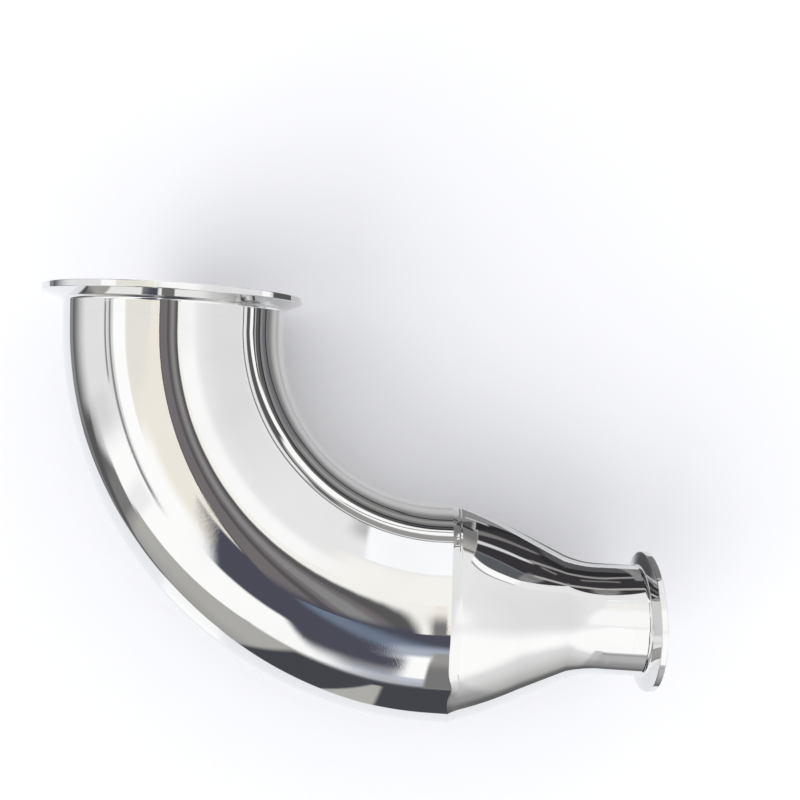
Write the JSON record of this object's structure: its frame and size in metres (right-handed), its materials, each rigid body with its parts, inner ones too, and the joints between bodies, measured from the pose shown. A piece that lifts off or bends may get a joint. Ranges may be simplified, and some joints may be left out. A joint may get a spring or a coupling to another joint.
{
  "type": "reducing elbow",
  "caption": "Polished stainless pipe elbow that turns a quarter circle and tapers through a concentric reducer to a smaller tube, with a clamp ferrule on each end.",
  "frame": {"origin": "centre of the large ferrule's face, where the mating ferrule and its gasket meet it", "axes": "+Y out of the large port, +X out of the small port, +Z square to the plane that holds the centreline"},
  "size_m": [0.2908, 0.1978, 0.119],
  "materials": {
    "turned_ferrule": "polished",
    "polished_bend": "polished",
    "dressed_weld": "polished",
    "polished_reducer": "polished"
  },
  "bodies": {
    "root": {"large_ferrule": "turned_ferrule", "bend": "polished_bend", "girth_weld": "dressed_weld", "reducer": "polished_reducer", "small_ferrule": "turned_ferrule"}
  },
  "joints": []
}
